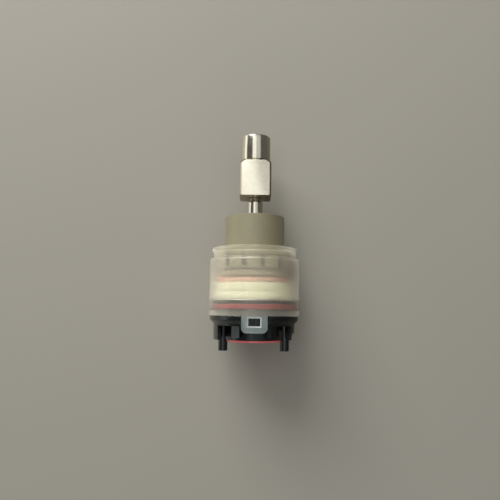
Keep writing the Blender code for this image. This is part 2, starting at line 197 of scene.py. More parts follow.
# %% World
ROOM_LIGHT, ROOM_SEEN = (0.11, 0.108, 0.10), (0.42, 0.41, 0.39)
world = bpy.data.worlds.new("studio")
bpy.context.scene.world = world
world.use_nodes = True
nodes, links = world.node_tree.nodes, world.node_tree.links
path = nodes.new("ShaderNodeLightPath")
shade = colour_mix(nodes, ROOM_LIGHT, ROOM_SEEN)
links.new(path.outputs["Is Camera Ray"], shade.inputs[FACTOR])
links.new(shade.outputs[MIXED], nodes["Background"].inputs["Color"])
bpy.context.scene.view_settings.view_transform = "Standard"
print("view transform:", bpy.context.scene.view_settings.view_transform)

# %% [markdown]
# ## Shared surface effects
# Moulded plastic and machined metal are never one flat colour. Three small node groups make the
# differences that all the materials need: a soft mottling, a fine grain for the bump, and a mask of worn
# edges. Each material places the group with its own values.

# %% Group for mottling and grain


def new_group(name, inputs, outputs):
    """A shader node group with named sockets; returns the group, its nodes, its links and its two ends."""
    group = bpy.data.node_groups.new(name, "ShaderNodeTree")
    for socket, kind, value in inputs:
        made = group.interface.new_socket(socket, in_out="INPUT", socket_type=kind)
        if value is not None:
            made.default_value = value
    for socket, kind in outputs:
        group.interface.new_socket(socket, in_out="OUTPUT", socket_type=kind)
    start, end = group.nodes.new("NodeGroupInput"), group.nodes.new("NodeGroupOutput")
    return group, group.nodes, group.links, start, end


FLOAT, COLOR, VECTOR = "NodeSocketFloat", "NodeSocketColor", "NodeSocketVector"

mottle, nodes, links, start, end = new_group(
    "mottle",
    [("Vector", VECTOR, None), ("Colour A", COLOR, None), ("Colour B", COLOR, None),
     ("Scale", FLOAT, 200.0), ("Roughness Low", FLOAT, 0.4), ("Roughness High", FLOAT, 0.5)],
    [("Colour", COLOR), ("Roughness", FLOAT)])
cloud = nodes.new("ShaderNodeTexNoise")
cloud.inputs["Detail"].default_value = 4
cloud.inputs["Roughness"].default_value = 0.6
spread = ramp(nodes, 0.3, 0.7)
blend_colour = colour_mix(nodes)
rough = ramp(nodes)
links.new(start.outputs["Vector"], cloud.inputs["Vector"])
links.new(start.outputs["Scale"], cloud.inputs["Scale"])
links.new(cloud.outputs["Fac"], spread.inputs["Value"])
links.new(spread.outputs[0], blend_colour.inputs[FACTOR])
links.new(start.outputs["Colour A"], blend_colour.inputs[FIRST])
links.new(start.outputs["Colour B"], blend_colour.inputs[SECOND])
links.new(spread.outputs[0], rough.inputs["Value"])
links.new(start.outputs["Roughness Low"], rough.inputs["To Min"])
links.new(start.outputs["Roughness High"], rough.inputs["To Max"])
links.new(blend_colour.outputs[MIXED], end.inputs["Colour"])
links.new(rough.outputs[0], end.inputs["Roughness"])

print("sockets of the mottling:", len(mottle.interface.items_tree))

# %% [markdown]
# A lathe leaves fine rings round the axis, and a mill or a mould leaves an even grain. One noise makes
# both: for turned work it is read by radius and height, so it runs round the piece, and otherwise by
# place.

# %% Group for turned and milled grain
grain, nodes, links, start, end = new_group(
    "directional_grain",
    [("Vector", VECTOR, None), ("Stretch", VECTOR, (1, 1, 1)), ("Turned", FLOAT, 0.0)],
    [("Height", FLOAT)])
parts_xyz = nodes.new("ShaderNodeSeparateXYZ")
flat_length = nodes.new("ShaderNodeVectorMath")
flat_length.operation = "LENGTH"
flat = nodes.new("ShaderNodeVectorMath")
flat.operation = "MULTIPLY"
flat.inputs[1].default_value = (1, 1, 0)
rings = nodes.new("ShaderNodeCombineXYZ")
choose = nodes.new("ShaderNodeMix")
choose.data_type = "VECTOR"
stretched = nodes.new("ShaderNodeVectorMath")
stretched.operation = "MULTIPLY"
lines = nodes.new("ShaderNodeTexNoise")
lines.inputs["Scale"].default_value = 1.0
lines.inputs["Detail"].default_value = 3
links.new(start.outputs["Vector"], parts_xyz.inputs[0])
links.new(start.outputs["Vector"], flat.inputs[0])
links.new(flat.outputs[0], flat_length.inputs[0])
links.new(flat_length.outputs["Value"], rings.inputs["X"])
links.new(parts_xyz.outputs["Z"], rings.inputs["Z"])
links.new(start.outputs["Turned"], choose.inputs[0])
links.new(start.outputs["Vector"], choose.inputs[4])
links.new(rings.outputs[0], choose.inputs[5])
links.new(choose.outputs[1], stretched.inputs[0])
links.new(start.outputs["Stretch"], stretched.inputs[1])
links.new(stretched.outputs[0], lines.inputs["Vector"])
links.new(lines.outputs["Fac"], end.inputs["Height"])

print("sockets of the grain:", len(grain.interface.items_tree))

# %% [markdown]
# Handling rubs the outer edges paler. The mask comes from how sharply the surface bends outward, broken
# up by a fine noise, so no edge is evenly worn.

# %% Group for worn edges
wear, nodes, links, start, end = new_group(
    "edge_wear",
    [("Colour", COLOR, None), ("Worn Colour", COLOR, None), ("Amount", FLOAT, 0.5), ("Vector", VECTOR, None)],
    [("Colour", COLOR)])
geometry = nodes.new("ShaderNodeNewGeometry")
ridge = ramp(nodes, 0.53, 0.62)
patchy = nodes.new("ShaderNodeTexNoise")
patchy.inputs["Scale"].default_value = 600.0
scaled = math_node(nodes, "MULTIPLY")
strength = math_node(nodes, "MULTIPLY")
worn = colour_mix(nodes)
links.new(geometry.outputs["Pointiness"], ridge.inputs["Value"])
links.new(start.outputs["Vector"], patchy.inputs["Vector"])
links.new(ridge.outputs[0], scaled.inputs[0])
links.new(patchy.outputs["Fac"], scaled.inputs[1])
links.new(scaled.outputs[0], strength.inputs[0])
links.new(start.outputs["Amount"], strength.inputs[1])
links.new(strength.outputs[0], worn.inputs[FACTOR])
links.new(start.outputs["Colour"], worn.inputs[FIRST])
links.new(start.outputs["Worn Colour"], worn.inputs[SECOND])
links.new(worn.outputs[MIXED], end.inputs["Colour"])
print("groups:", [g.name for g in bpy.data.node_groups])

# %% [markdown]
# ## Finishes
# One function builds a finish from those groups. What differs from one material to the next is its two
# colours, its gloss, how coarse its grain is and which way the grain runs. The milky plastic gets its own
# cell, because light passes through it.

# %% Finishes


def group_node(nodes, group):
    placed = nodes.new("ShaderNodeGroup")
    placed.node_tree = group
    return placed


def finish_of(name, colour_a, colour_b, gloss, mottle_scale, stretch, bump, turned=0.0,
              worn=None, worn_amount=0.0, metallic=0.0):
    """Opaque finish: mottled colour, worn edges and directional grain. gloss is the roughness range."""
    material, nodes, links, shader = new_material(name)
    place = nodes.new("ShaderNodeTexCoord")
    tone, marks, edges = group_node(nodes, mottle), group_node(nodes, grain), group_node(nodes, wear)
    tone.inputs["Colour A"].default_value = (*colour_a, 1)
    tone.inputs["Colour B"].default_value = (*colour_b, 1)
    tone.inputs["Scale"].default_value = mottle_scale
    tone.inputs["Roughness Low"].default_value, tone.inputs["Roughness High"].default_value = gloss
    marks.inputs["Stretch"].default_value = stretch
    marks.inputs["Turned"].default_value = turned
    edges.inputs["Worn Colour"].default_value = (*(worn or colour_b), 1)
    edges.inputs["Amount"].default_value = worn_amount
    relief = nodes.new("ShaderNodeBump")
    relief.inputs["Strength"].default_value = bump
    relief.inputs["Distance"].default_value = 0.0001
    for node in (tone, marks, edges):
        links.new(place.outputs["Object"], node.inputs["Vector"])
    links.new(tone.outputs["Colour"], edges.inputs["Colour"])
    links.new(edges.outputs["Colour"], shader.inputs["Base Color"])
    links.new(tone.outputs["Roughness"], shader.inputs["Roughness"])
    links.new(marks.outputs["Height"], relief.inputs["Height"])
    links.new(relief.outputs["Normal"], shader.inputs["Normal"])
    shader.inputs["Metallic"].default_value = metallic
    return material


print("a finish uses:", [g.name for g in (mottle, grain, wear)])

# %% [markdown]
# The moulded plastics are satin, with a fine grain. The black one is a little glossier and cooler, so
# that lamps draw a thin line along its edges. The darker tans are painted shade: the same plastic,
# darkened where little light gets to it.

# %% Plastics
BLACK = finish_of("satin_black", (0.0022, 0.0027, 0.003), (0.0042, 0.005, 0.0053), (0.22, 0.31), 300,
                  (2500, 2500, 2500), 0.25, worn=(0.05, 0.055, 0.058), worn_amount=0.5)
black_shader = BLACK.node_tree.nodes["Principled BSDF"]
black_shader.inputs["Specular IOR Level"].default_value = 0.6
black_shader.inputs["Specular Tint"].default_value = (0.86, 0.96, 1.0, 1)
TAN = finish_of("moulded_tan", (0.223, 0.205, 0.128), (0.25, 0.229, 0.145), (0.42, 0.55), 180,
                (1800, 1800, 1800), 0.3, worn=(0.30, 0.275, 0.18), worn_amount=0.3)
CREAM = finish_of("moulded_cream", (0.26, 0.22, 0.15), (0.30, 0.255, 0.175), (0.4, 0.5), 200,
                  (1500, 1500, 1500), 0.2)
# Painted shade: two darker tans, for the stop ring's flutes and for its key.
PAINTED_FLUTE_SHADE = finish_of("shaded_tan", (0.045, 0.04, 0.027), (0.07, 0.063, 0.042), (0.5, 0.6), 180,
                     (1800, 1800, 1800), 0.3)
PAINTED_KEY_SHADE = finish_of("painted_key_shade", (0.12, 0.095, 0.062), (0.15, 0.12, 0.08), (0.45, 0.6), 180,
                  (1800, 1800, 1800), 0.3)
BUSH = finish_of("pale_nylon", (0.72, 0.72, 0.69), (0.80, 0.80, 0.78), (0.35, 0.5), 300,
                 (1500, 1500, 1500), 0.2)
# Painted highlight: a paler, cooler plastic for the milky shell's lower edges and window lips.
PAINTED_EDGE_HIGHLIGHT = finish_of("painted_edge_highlight", (0.44, 0.50, 0.48), (0.52, 0.58, 0.56), (0.25, 0.35), 300,
                      (1500, 1500, 1500), 0.1)
print("materials:", len(bpy.data.materials))

# %% [markdown]
# The seals are silicone and rubber. The ring round the base is deep red. The seal under it and the lobes
# of the driver's ring get a brighter copy of that red, which is painted light. The driver's ring itself
# is pale pink, and the stem's two are black.

# %% Seals
RED = finish_of("red_silicone", (0.36, 0.028, 0.038), (0.43, 0.04, 0.05), (0.38, 0.55), 260,
                (1500, 1500, 1500), 0.25)
PAINTED_LIT_RED = finish_of("painted_lit_red_silicone", (0.90, 0.15, 0.17), (0.95, 0.22, 0.24), (0.22, 0.34), 260,
                       (1500, 1500, 1500), 0.2)
PINK = finish_of("pink_silicone", (0.84, 0.50, 0.44), (0.90, 0.58, 0.50), (0.38, 0.5), 260,
                 (1500, 1500, 1500), 0.2)
BLACK_RUBBER = finish_of("ring_rubber", (0.015, 0.015, 0.016), (0.03, 0.03, 0.03), (0.5, 0.65), 300,
                         (1500, 1500, 1500), 0.2)
print("materials:", len(bpy.data.materials))

# %% [markdown]
# The discs are lapped ceramic, nearly a mirror. The stem is turned, and the block is milled on its sides
# and sawn on its chamfers and ends, so the three steels differ in gloss and in the way their grain runs.
# The sawn steel is also much darker and browner, and that darkness is painted shade.

# %% Ceramic and steel
CERAMIC = finish_of("ivory_ceramic", (0.74, 0.77, 0.625), (0.78, 0.81, 0.66), (0.18, 0.3), 250,
                    (4000, 4000, 4000), 0.08)
STEEL = finish_of("turned_steel", (0.66, 0.64, 0.54), (0.76, 0.74, 0.64), (0.13, 0.19), 400,
                  (300, 300, 9000), 0.05, turned=1.0, metallic=1.0)
MILLED = finish_of("milled_steel", (0.74, 0.72, 0.60), (0.82, 0.80, 0.68), (0.21, 0.27), 600,
                   (5000, 5000, 4000), 0.08, metallic=1.0)
SAWN_AND_SHADED = finish_of("sawn_and_shaded_steel", (0.42, 0.37, 0.28), (0.52, 0.46, 0.36), (0.3, 0.4), 700,
                 (4000, 4000, 4000), 0.15, metallic=1.0)
print("materials:", len(bpy.data.materials))

# %% [markdown]
# The housing is milky acetal: light goes in, but nothing shows sharply through it. It is made as rough
# glass. Round the belt over the base it is clearer, and its colour is darkened there as painted shade.
# Below the belt its light is cooler.

# %% Milky plastic
BELT_Z, SKIRT_LIGHT_Z = 15.2 * MM, (11.0 * MM, 9.8 * MM)
MILKY, nodes, links, shader = new_material("milky_acetal")
place = nodes.new("ShaderNodeTexCoord")
tone = group_node(nodes, mottle)
tone.inputs["Colour A"].default_value = (0.89, 0.86, 0.76, 1)
tone.inputs["Colour B"].default_value = (0.92, 0.89, 0.79, 1)
tone.inputs["Scale"].default_value = 90.0
tone.inputs["Roughness Low"].default_value = 0.35
tone.inputs["Roughness High"].default_value = 0.41
links.new(place.outputs["Object"], tone.inputs["Vector"])
height = nodes.new("ShaderNodeSeparateXYZ")
off_belt = math_node(nodes, "SUBTRACT", BELT_Z)
distance = math_node(nodes, "ABSOLUTE")
clearer = ramp(nodes, 2.0 * MM, 3.4 * MM, to_min=0.6)
gloss = math_node(nodes, "MULTIPLY")
away_from_belt = ramp(nodes, 1.8 * MM, 3.2 * MM)
# Painted shade: the colour darkens towards the belt.
painted_belt_shade = colour_mix(nodes, first=(0.72, 0.69, 0.62))
low_down = ramp(nodes, *SKIRT_LIGHT_Z)
cooler = colour_mix(nodes, second=(0.82, 0.93, 0.93))
links.new(tone.outputs["Colour"], painted_belt_shade.inputs[SECOND])
links.new(away_from_belt.outputs[0], painted_belt_shade.inputs[FACTOR])
links.new(painted_belt_shade.outputs[MIXED], cooler.inputs[FIRST])
links.new(low_down.outputs[0], cooler.inputs[FACTOR])
links.new(cooler.outputs[MIXED], shader.inputs["Base Color"])
links.new(place.outputs["Object"], height.inputs[0])
links.new(height.outputs["Z"], off_belt.inputs[0])
links.new(height.outputs["Z"], low_down.inputs["Value"])
links.new(off_belt.outputs[0], distance.inputs[0])
links.new(distance.outputs[0], clearer.inputs["Value"])
links.new(distance.outputs[0], away_from_belt.inputs["Value"])
links.new(clearer.outputs[0], gloss.inputs[0])
links.new(tone.outputs["Roughness"], gloss.inputs[1])
links.new(gloss.outputs[0], shader.inputs["Roughness"])
print("belt at, mm:", BELT_Z / MM)

# %% [markdown]
# Real milky plastic lets the room's light in to the pieces behind it. Here each surface passes most of a
# lamp's direct light, and to the eye it stays closed.

# %% Light through the milky plastic
SHADOW_KEPT = 0.3
shader.inputs["IOR"].default_value = 1.33
shader.inputs["Transmission Weight"].default_value = 0.9
path = nodes.new("ShaderNodeLightPath")
passing = ramp(nodes, to_min=1.0, to_max=SHADOW_KEPT)
links.new(path.outputs["Is Shadow Ray"], passing.inputs["Value"])
links.new(passing.outputs[0], shader.inputs["Alpha"])
print("a surface passes, of a lamp's direct light:", round(1 - SHADOW_KEPT, 2))

# %% [markdown]
# ## How a turned piece is made
# Nearly every piece here comes off a lathe or out of a round mould. So the first helper works like a
# lathe: it adds a circle, then extrudes it up, down, in and out along a list of radius and height, and
# closes the skin. Sharp corners are then bevelled, because real edges always catch a line of light.

# %% Helpers for selecting and finishing
X, Y, Z = range(3)


def span(node, axis):
    """Lowest and highest place of a CAD node along an axis, in millimetres."""
    low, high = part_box(node)
    return round(low[axis] / MM, 3), round(high[axis] / MM, 3)


def start_fresh():
    if bpy.context.object is not None and bpy.context.object.mode != "OBJECT":
        bpy.ops.object.mode_set(mode="OBJECT")
    bpy.ops.object.select_all(action="DESELECT")


def edit():
    bpy.ops.object.mode_set(mode="EDIT")
    bpy.ops.mesh.select_mode(type="VERT")


def done(body, name):
    """Back to object mode, with the place in the mesh and the normals outward."""
    bpy.ops.mesh.select_all(action="SELECT")
    bpy.ops.mesh.remove_doubles(threshold=0.0000005)
    bpy.ops.mesh.normals_make_consistent(inside=False)
    bpy.ops.object.mode_set(mode="OBJECT")
    bpy.ops.object.transform_apply(location=True, rotation=True, scale=True)
    body.name = body.data.name = name
    return body


print("height of the whole object, mm:", span("base", Z)[0], "to", span("adapter", Z)[1])

# %% [markdown]
# The lathe itself: each step of the profile is one extrusion and one resize about the stem's axis. A sleeve's
# profile ends beside its start, and the two are bridged. A solid piece has its ends capped.

# %% Helper that turns a profile


def turned(name, profile, closed=False, segments=160):
    """Turns a profile of (radius, height) in millimetres. Open ends are capped; a closed one is bridged."""
    start_fresh()
    radius, height = profile[0]
    bpy.ops.mesh.primitive_circle_add(vertices=segments, radius=radius * MM, location=(0, 0, height * MM))
    body = bpy.context.object
    edit()
    for next_radius, next_height in profile[1:]:
        rise = (0, 0, (next_height - height) * MM)
        bpy.ops.mesh.extrude_region_move(TRANSFORM_OT_translate={"value": rise})
        grow = next_radius / radius
        bpy.ops.transform.resize(value=(grow, grow, 1), center_override=(0, 0, next_height * MM))
        radius, height = next_radius, next_height
    bpy.ops.mesh.select_all(action="DESELECT")
    bpy.ops.mesh.select_non_manifold()
    if closed:
        bpy.ops.mesh.bridge_edge_loops()
    else:
        bpy.ops.mesh.fill_holes(sides=0)
    return done(body, name)


def round_edges(body, width, segments=3, sharper_than=30):
    """Bevels each edge that is sharper than an angle; the width is in millimetres."""
    start_fresh()
    body.select_set(True)
    bpy.context.view_layer.objects.active = body
    edge = body.modifiers.new("edges", "BEVEL")
    edge.width = width * MM
    edge.segments = segments
    edge.limit_method = "ANGLE"
    edge.angle_limit = math.radians(sharper_than)
    edge.miter_outer = "MITER_ARC"
    bpy.ops.object.modifier_apply(modifier=edge.name)
    return body


print("sides of a turned piece:", turned.__defaults__[1])

# %% [markdown]
# Some details aren't round: blocks, pins and parts of rings. They start as a box, a rod or a rectangle
# spun about the stem's axis, and are then added to a turned piece or cut out of it. A bearing is counted
# from the front.

# %% Helpers for blocks, rods and parts of rings


def box(name, size, centre, bearing=0.0):
    """Block of a size in millimetres, turned about the stem's axis by a bearing."""
    start_fresh()
    bpy.ops.mesh.primitive_cube_add(size=1, location=Vector(centre) * MM)
    body = bpy.context.object
    body.scale = Vector(size) * MM
    bpy.ops.object.transform_apply(location=True, rotation=True, scale=True)
    body.rotation_euler.z = math.radians(bearing)
    bpy.ops.object.transform_apply(location=True, rotation=True, scale=True)
    body.name = body.data.name = name
    return body


def rod(name, radius, low, high, centre=(0, 0), segments=48):
    """Upright cylinder between two heights, in millimetres."""
    start_fresh()
    bpy.ops.mesh.primitive_cylinder_add(
        vertices=segments, radius=radius * MM, depth=(high - low) * MM,
        location=(centre[0] * MM, centre[1] * MM, (low + high) / 2 * MM))
    body = bpy.context.object
    bpy.ops.object.transform_apply(location=True, rotation=True, scale=True)
    body.name = body.data.name = name
    return body


def polar(radius, bearing):
    angle = math.radians(bearing)
    return radius * math.sin(angle), -radius * math.cos(angle)


def sector(name, inner, outer, first, last, low, high):
    """Part of a ring: an upright rectangle spun about the stem's axis from one bearing to another."""
    start_fresh()
    middle = (inner + outer) / 2
    bpy.ops.mesh.primitive_plane_add(size=1, location=(0, -middle * MM, (low + high) / 2 * MM),
                                     rotation=(0, math.radians(90), 0))
    body = bpy.context.object
    body.scale = ((high - low) * MM, (outer - inner) * MM, 1)
    bpy.ops.object.transform_apply(location=True, rotation=True, scale=True)
    body.rotation_euler.z = math.radians(first)
    bpy.ops.object.transform_apply(location=True, rotation=True, scale=True)
    edit()
    bpy.ops.mesh.select_all(action="SELECT")
    steps = max(2, round((last - first) / 2.5))
    bpy.ops.mesh.spin(steps=steps, angle=math.radians(first - last), center=(0, 0, 0), axis=(0, 0, 1))
    bpy.ops.mesh.select_all(action="DESELECT")
    bpy.ops.mesh.select_non_manifold()
    bpy.ops.mesh.fill_holes(sides=0)
    return done(body, name)


print("front of the housing's wall, mm:", [round(v, 3) for v in polar(span("housing", Y)[1], 0)])

# %% [markdown]
# Each ready piece is handed over in the same way: it gets its finish, its shading, the body that it moves
# with, and the CAD nodes whose place it takes.

# %% Helpers for joining and handing over


def combine(body, tools, operation):
    """Adds, cuts or keeps with each tool, applies it, and removes the tool."""
    for tool in tools:
        start_fresh()
        body.select_set(True)
        bpy.context.view_layer.objects.active = body
        step = body.modifiers.new("combine", "BOOLEAN")
        step.operation = operation
        step.object = tool
        step.solver = "EXACT"
        bpy.ops.object.modifier_apply(modifier=step.name)
        bpy.data.objects.remove(tool, do_unlink=True)
    return body


def cut(body, *tools):
    return combine(body, tools, "DIFFERENCE")


def join(body, *tools):
    return combine(body, tools, "UNION")


def hand_over(body, material, rides, slot, *nodes, sharper_than=32):
    """Finish, shading, body and CAD nodes of a ready piece; slot is not used."""
    start_fresh()
    body.select_set(True)
    bpy.context.view_layer.objects.active = body
    bpy.ops.object.shade_smooth_by_angle(angle=math.radians(sharper_than))
    body.data.materials.clear()
    body.data.materials.append(material)
    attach(body, rides)
    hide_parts(*nodes)
    print(body.name, "faces:", len(body.data.polygons))
    return body


print("bodies that pieces ride on:", SPINDLE, CARTRIDGE)

# %% [markdown]
# ## Adapter
# The handle sits on a square block with a round spigot. The block was sawn from square bar, so its long
# edges have a narrow flat, and then faced on a lathe, which cut a cone across its top corners: that is
# why the top of each flat ends in a curve. Box, bevel and a cone to keep within give just that.

# %% Adapter
BLOCK_W = 2 * span("adapter", X)[1]
BLOCK_LOW, ADAPTER_TOP = span("adapter", Z)
BLOCK_HIGH, SPIGOT_R = 79.8, 6.65
CHAMFER = 0.75

block_size = (BLOCK_W, BLOCK_W, BLOCK_HIGH - BLOCK_LOW)
block = box("adapter_block", block_size, (0, 0, (BLOCK_LOW + BLOCK_HIGH) / 2))
edit()
bpy.ops.mesh.select_all(action="DESELECT")
bpy.ops.mesh.select_mode(type="EDGE")
bpy.ops.object.mode_set(mode="OBJECT")
for edge in block.data.edges:
    a, b = (block.data.vertices[i].co for i in edge.vertices)
    edge.select = abs(a.z - b.z) > 0.5 * (BLOCK_HIGH - BLOCK_LOW) * MM
bpy.ops.object.mode_set(mode="EDIT")
bpy.ops.mesh.bevel(offset=CHAMFER * MM, segments=1)
done(block, "handle_adapter")
envelope = turned("cone", [
    (8.2, BLOCK_HIGH + 0.01), (9.7, BLOCK_HIGH - 1.7), (9.7, BLOCK_LOW + 0.5), (9.2, BLOCK_LOW - 0.01)])
combine(block, [envelope], "INTERSECT")
round_edges(block, 0.1, 2, 25)
print("block, mm:", BLOCK_W, "wide,", round(BLOCK_HIGH - BLOCK_LOW, 2), "long")

# %% [markdown]
# The spigot is turned from the same bar, with a narrow groove where it leaves the block. A screw comes in
# from its end, and the stem's stud comes in from below. The three steels follow how each face was cut,
# and the darker one on the chamfers and ends is painted shade.

# %% Spigot and bores
spigot = turned("spigot", [
    (SPIGOT_R - 0.25, ADAPTER_TOP), (SPIGOT_R, ADAPTER_TOP - 0.25), (SPIGOT_R, BLOCK_HIGH + 0.9),
    (SPIGOT_R - 0.8, BLOCK_HIGH + 0.75), (SPIGOT_R - 0.8, BLOCK_HIGH - 2)])
round_edges(spigot, 0.08, 2, 20)
join(block, spigot)
cut(block, rod("screw_bore", 2.1, ADAPTER_TOP - 12, ADAPTER_TOP + 1),
    rod("stud_bore", 2.8, BLOCK_LOW - 1, 71.6))
hand_over(block, MILLED, SPINDLE, "steel", "adapter")
block.data.materials.append(STEEL)
block.data.materials.append(SAWN_AND_SHADED)
# Painted shade: the chamfers and ends get the darker sawn steel, and the spigot gets the turned one.
for face in block.data.polygons:
    if face.center.z > (BLOCK_HIGH + 0.05) * MM:
        face.material_index = 1
    elif max(abs(face.normal.x), abs(face.normal.y)) < 0.985:
        face.material_index = 2

# %% [markdown]
# ## Stem
# The stem is turned: a collar inside the bonnet, a journal with two O-ring grooves, a thinner shaft that
# shows above the bonnet, a rounded shoulder, and a stud that holds the adapter.

# %% Stem
STEM_R, JOURNAL_R, STUD_R = 3.45, 4.4, 2.5
O_RINGS = ("stem_o_ring_lower", "stem_o_ring_upper")
O_RING_Z = [round(sum(span(ring, Z)) / 2, 3) for ring in O_RINGS]
STEM_TOP = span("stem", Z)[1]
grooves = []
for z in reversed(O_RING_Z):
    grooves += [(JOURNAL_R, z + 0.9), (3.15, z + 0.9), (3.15, z - 0.9), (JOURNAL_R, z - 0.9)]
stem = turned("turned_stem", [
    (STUD_R - 0.4, STEM_TOP), (STUD_R, STEM_TOP - 0.4), (STUD_R, 61.9),
    (STEM_R - 0.55, 61.9), (STEM_R - 0.15, 61.6), (STEM_R, 61.1), (STEM_R, 54.0), (2.7, 54.0),
    (2.7, 52.85), (STEM_R, 52.85), (STEM_R, 47.8),
    (JOURNAL_R, 47.2), *grooves, (JOURNAL_R, 35.2), (6.2, 35.2), (6.2, 33.3)], segments=96)
round_edges(stem, 0.1, 2, 40)
join(stem, box("drive_square", (6.8, 6.8, 6.3), (0, 0, 30.5)))
hand_over(stem, STEEL, SPINDLE, "steel", "stem")

# %% [markdown]
# ## Bonnet
# The tan bonnet is a thick moulded sleeve with a notched flange that the housing holds down.

# %% Bonnet
HEAD_R, HEAD_TOP = 13.35, span("head", Z)[1]
FLANGE_R = span("head", Y)[1]
FLANGE_LOW, FLANGE_HIGH = 36.3, 37.9
FLUTES, FLUTE_W, FLUTE_OFFSET = 14, 2.0, 11.0


def flute_cutters(low, high):
    for i in range(FLUTES):
        yield box(f"flute_{i}", (FLUTE_W, 4.0, high - low), (0, -17.6, (low + high) / 2),
                  FLUTE_OFFSET + 360 / FLUTES * i)


bonnet = turned("bonnet", [
    (6.3, HEAD_TOP), (HEAD_R, HEAD_TOP), (HEAD_R, FLANGE_HIGH), (FLANGE_R, FLANGE_HIGH),
    (FLANGE_R, FLANGE_LOW), (13.4, FLANGE_LOW), (13.4, 33.6), (6.6, 33.6), (6.6, 36.5),
    (4.7, 36.5), (4.7, 48.3), (6.3, 48.3)], closed=True)
round_edges(bonnet, 0.15, 3)
cut(bonnet, *flute_cutters(FLANGE_LOW - 1, FLANGE_HIGH + 1))
hand_over(bonnet, TAN, CARTRIDGE, "tan_plastic", "head")

# %% [markdown]
# ## Pieces inside the housing
# They are seen only through the milky wall, as soft bands of colour, but from below and in the ports a
# few of them show directly.

# %% [markdown]
# The stop ring is a fluted sleeve under the bonnet, with the same flutes as the bonnet's flange. Two
# blocks inside it stop the driver's arm, and a key on its outside keeps it from turning in the housing.

# %% Stop ring
RING_R, RING_TOP = span("stop_ring", Y)[1], span("stop_ring", Z)[1]
RING_LOW, RING_BORE = 30.3, 13.9
stop_ring = turned("fluted_ring", [
    (RING_R, RING_TOP), (RING_R, RING_LOW), (RING_BORE, RING_LOW), (RING_BORE, RING_TOP)], closed=True)
round_edges(stop_ring, 0.2, 2)
join(stop_ring, sector("key", 16.95, 18.0, 42, 80, 27.0, 31.0))
for side in (-1, 1):
    middle = side * 98
    join(stop_ring, sector("stop", 11.2, 14.3, middle - 8, middle + 8, 30.31, 33.2))
cut(stop_ring, *flute_cutters(31.2, 37.0))
hand_over(stop_ring, TAN, CARTRIDGE, "tan_plastic", "stop_ring")
stop_ring.data.materials.append(PAINTED_FLUTE_SHADE)
stop_ring.data.materials.append(PAINTED_KEY_SHADE)
# Painted shade: the flutes' walls get the darkest tan, and the key and the ring's lower outer edge get the
# brown one.
for face in stop_ring.data.polygons:
    across = math.hypot(face.center.x, face.center.y)
    in_flutes = 15.3 * MM < across < 17.15 * MM and 31.1 * MM < face.center.z < 35.9 * MM
    if in_flutes and abs(face.normal.z) < 0.5:
        face.material_index = 1
    elif across > 16.9 * MM and face.center.z < 31.05 * MM:
        face.material_index = 2

# %% [markdown]
# The two ceramic discs do the sealing. The lower one is fixed and has the three ports, and the upper one
# has a half-round hollow that joins two of them. Their rims have a small bevel, because a sharp ceramic
# edge chips.

# %% Discs
PORT_BEARINGS = (0, 120, -120)
PORT_PITCH, PORT_R = 7.0, 3.0
FIXED_LOW, FIXED_TOP = span("fixed_disc", Z)
MOVING_LOW, MOVING_TOP = span("moving_disc", Z)
FIXED_R, MOVING_R = 17.8, 17.0
fixed = turned("lower_disc", [(FIXED_R, FIXED_TOP), (FIXED_R, FIXED_LOW)])
round_edges(fixed, 0.25, 2)
for bearing in PORT_BEARINGS:
    cut(fixed, rod("port", PORT_R, 16, 22, polar(PORT_PITCH, bearing)))
for side in (-1, 1):
    cut(fixed, box("notch", (2.8, 3.7, 6), (side * 17.7, 0, 19)))
hand_over(fixed, CERAMIC, CARTRIDGE, "ceramic", "fixed_disc")

moving = turned("upper_disc", [(MOVING_R, MOVING_TOP), (MOVING_R, MOVING_LOW)])
round_edges(moving, 0.25, 2)
cut(moving, sector("crossover", 3.5, 10.5, -90, 90, 20, 22.7))
for side in (-1, 1):
    cut(moving, rod("socket", 2.5, 23.1, 25.6, (side * 8.5, 0)))
hand_over(moving, CERAMIC, SPINDLE, "ceramic", "moving_disc")

# %% [markdown]
# The driver turns the upper disc. It is a moulded plate with two pins below, a square socket for the stem
# above, and an arm that meets the stops. It is turned first, and the arm, the pins and the socket follow.

# %% Driver
DRIVER_R, DRIVER_TOP = span("driver", Y)[1], span("driver", Z)[1]
HUB_R, FOOT_R = 8.0, 12.6
driver = turned("disc_driver", [
    (HUB_R, DRIVER_TOP), (HUB_R, 29.9), (DRIVER_R, 29.9), (DRIVER_R, 27.3), (FOOT_R, 27.3), (FOOT_R, 24.85)])
round_edges(driver, 0.25, 2)
join(driver, box("arm", (5.0, 6.9, 3.2), (0, 9.95, 31.0)))
for side in (-1, 1):
    join(driver, rod("pin", 2.2, 23.4, 25.4, (side * 8.5, 0)))
cut(driver, box("socket", (7.4, 7.4, 8.0), (0, 0, 31.0)))
hand_over(driver, CREAM, SPINDLE, "cream_plastic", "driver")

# %% [markdown]
# The driver's ring and the stem's two O-rings have a round or oval section, so their profile is an
# ellipse of fifteen points. The driver's ring is drawn fuller than its CAD node, so that it shows through
# the wall.

# %% Rings
rings_made = [
    ("driver_ring", 14.5, 1.3, 26.05, 1.1, PINK, SPINDLE, "red_rubber"),
    ("stem_o_ring_lower", 3.98, 0.58, O_RING_Z[0], 0.58, BLACK_RUBBER, SPINDLE, "black_rubber"),
    ("stem_o_ring_upper", 3.98, 0.58, O_RING_Z[1], 0.58, BLACK_RUBBER, SPINDLE, "black_rubber"),
]
for name, major, half_width, z, half_height, material, rides, slot in rings_made:
    angles = [math.radians(90 - 24 * i) for i in range(15)]
    section = [(major + half_width * math.cos(angle), z + half_height * math.sin(angle)) for angle in angles]
    ring = turned(name + "_round", section, closed=True, segments=128)
    hand_over(ring, material, rides, slot, name, sharper_than=60)

# %% [markdown]
# Two small lobes ride with the driver's ring and show as brighter dots behind the milky wall.

